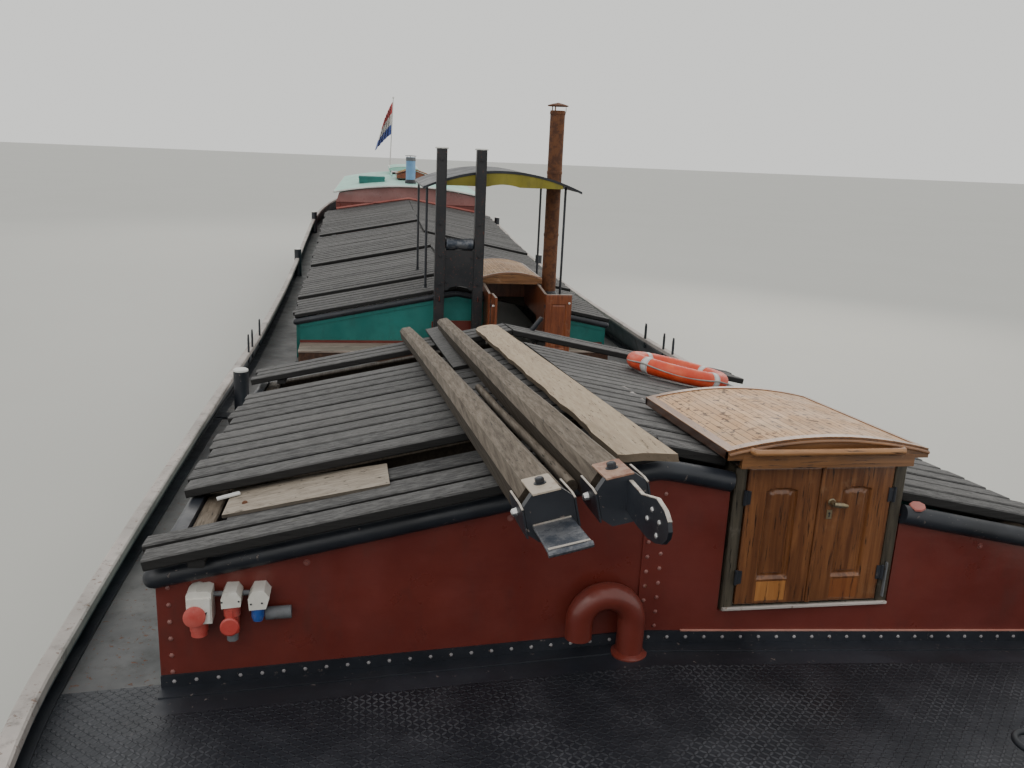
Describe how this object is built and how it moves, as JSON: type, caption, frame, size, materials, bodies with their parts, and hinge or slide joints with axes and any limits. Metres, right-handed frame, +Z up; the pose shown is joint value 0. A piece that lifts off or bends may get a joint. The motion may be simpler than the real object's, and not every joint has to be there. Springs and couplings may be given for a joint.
{
  "type": "river barge",
  "caption": "Riveted flat-bottomed river barge with board-covered holds, a lowering-mast tabernacle, doored companionways, sliding hoods, an aft cabin, windlass and rudder.",
  "frame": {"origin": "centre of the bounding box in plan, at the level of the flat bottom", "axes": "+X to port, +Y aft along the keel line, +Z up; the bow faces -Y"},
  "size_m": [5.073, 29.724, 5.652],
  "materials": {
    "hull_black": "black coating on riveted steel plate",
    "black_paint": "worn satin black paint",
    "oxide_red": "glossy red-brown paint on riveted plate",
    "teal_paint": "satin teal paint",
    "grey_paint": "chalky grey paint",
    "deck_paint": "worn dark chequer plate",
    "mint_paint": "satin mint paint",
    "blue_paint": "satin light blue paint",
    "bare_steel": "dull oiled steel",
    "rusted_steel": "heat-scorched rusty steel",
    "weathered_board": "grey-black weathered board",
    "weathered_timber": "grey-brown weathered timber",
    "plywood": "bleached beige plywood",
    "varnished_wood": "gloss varnished red-brown wood",
    "hood_wood": "varnished light brown strip planking",
    "canopy_sheet": "olive-yellow sheet with a black edge",
    "buoy_orange": "matt orange-red shell",
    "white_plastic": "off-white",
    "bronze": "dull cast bronze",
    "flag_cloth": "woven cloth in three bands"
  },
  "bodies": {
    "hull": {"bow": "hull_black", "stern": "hull_black", "bottom": "hull_black", "side_port": "hull_black", "side_starboard": "hull_black", "bulwark_port": "grey_paint", "bulwark_starboard": "grey_paint", "side_deck_port": "deck_paint", "side_deck_starboard": "deck_paint", "coaming_port": "black_paint", "coaming_starboard": "black_paint", "mast_deck": "grey_paint", "front_bulkhead": "oxide_red", "mid_bulkhead": "teal_paint", "fore_hatch": "weathered_board", "aft_hatch": "weathered_board", "aft_hatch_beside_trunk": "weathered_board", "cover_sheet": "plywood", "fore_companion": "varnished_wood", "mid_trunk": "oxide_red", "tabernacle": "black_paint", "canopy": "canopy_sheet", "flue": "rusted_steel", "sheer_leg_one": "weathered_timber", "sheer_leg_two": "weathered_timber", "gangplank": "plywood", "lifebuoy": "buoy_orange", "shore_sockets": "white_plastic", "cabin_walls": "oxide_red", "cabin_roof": "mint_paint", "skylight_base": "oxide_red", "stove_pipe": "blue_paint", "pedestal": "varnished_wood", "engine": "bare_steel", "windlass_frame": "black_paint", "anchor": "black_paint", "ensign_staff": "white_plastic", "ensign": "flag_cloth"},
    "fore_door_starboard": {"fore_door_starboard": "varnished_wood"},
    "fore_door_port": {"fore_door_port": "varnished_wood"},
    "fore_hood": {"fore_hood": "hood_wood"},
    "mid_door_port": {"mid_door_port": "varnished_wood"},
    "mid_door_starboard": {"mid_door_starboard": "varnished_wood"},
    "mid_hood": {"mid_hood": "hood_wood"},
    "cabin_hood": {"cabin_hood": "mint_paint"},
    "cabin_door": {"cabin_door": "varnished_wood"},
    "skylight_lid_port": {"skylight_lid_port": "oxide_red"},
    "skylight_lid_starboard": {"skylight_lid_starboard": "oxide_red"},
    "steering_wheel": {"steering_wheel": "varnished_wood"},
    "rudder": {"rudder": "hull_black"},
    "propeller": {"propeller": "bronze"},
    "windlass_drum": {"windlass_drum": "bare_steel"}
  },
  "joints": [
    {"name": "fore_door_starboard_hinge", "type": "hinge", "parent": "hull", "child": "fore_door_starboard", "pos_m": [0.366, -10.317, 2.92], "axis": [0, 0, 1], "range_deg": [-150, 0]},
    {"name": "fore_door_port_hinge", "type": "hinge", "parent": "hull", "child": "fore_door_port", "pos_m": [1.034, -10.317, 2.92], "axis": [0, 0, 1], "range_deg": [0, 150]},
    {"name": "fore_hood_slide", "type": "slide", "parent": "hull", "child": "fore_hood", "axis": [0, 0.9972, -0.0748], "range_m": [0, 0.75]},
    {"name": "mid_door_port_hinge", "type": "hinge", "parent": "hull", "child": "mid_door_port", "pos_m": [1.039, -2.91, 2.36], "axis": [0, 0, 1], "range_deg": [-180, 0]},
    {"name": "mid_door_starboard_hinge", "type": "hinge", "parent": "hull", "child": "mid_door_starboard", "pos_m": [0.371, -2.91, 2.36], "axis": [0, 0, 1], "range_deg": [-75, 90]},
    {"name": "mid_hood_slide", "type": "slide", "parent": "hull", "child": "mid_hood", "axis": [0, 1, 0], "range_m": [-0.56, 0.25]},
    {"name": "cabin_hood_slide", "type": "slide", "parent": "hull", "child": "cabin_hood", "axis": [0, -0.9982, -0.0599], "range_m": [0, 0.55]},
    {"name": "cabin_door_hinge", "type": "hinge", "parent": "hull", "child": "cabin_door", "pos_m": [-0.294, 12.489, 3], "axis": [0, 0, 1], "range_deg": [0, 110]},
    {"name": "skylight_port_hinge", "type": "hinge", "parent": "hull", "child": "skylight_lid_port", "pos_m": [0.182, 10.525, 3.698], "axis": [0, -1, 0], "range_deg": [0, 70]},
    {"name": "skylight_starboard_hinge", "type": "hinge", "parent": "hull", "child": "skylight_lid_starboard", "pos_m": [0.118, 10.525, 3.698], "axis": [0, 1, 0], "range_deg": [0, 70]},
    {"name": "wheel_turn", "type": "hinge", "parent": "hull", "child": "steering_wheel", "pos_m": [0, 13.47, 3.08], "axis": [0, 1, 0], "range_deg": [-420, 420]},
    {"name": "rudder_turn", "type": "hinge", "parent": "hull", "child": "rudder", "pos_m": [0, 13.8, 1], "axis": [0, 0, 1], "range_deg": [-35, 35]},
    {"name": "propeller_turn", "type": "hinge", "parent": "hull", "child": "propeller", "pos_m": [0, 13.3, 0.52], "axis": [0, 1, 0], "continuous": true},
    {"name": "windlass_turn", "type": "hinge", "parent": "hull", "child": "windlass_drum", "pos_m": [0, -13.25, 3.181], "axis": [1, 0, 0], "continuous": true}
  ],
  "couplings": [
    {"joint": "wheel_turn", "follows": "rudder_turn", "ratio": 12}
  ]
}
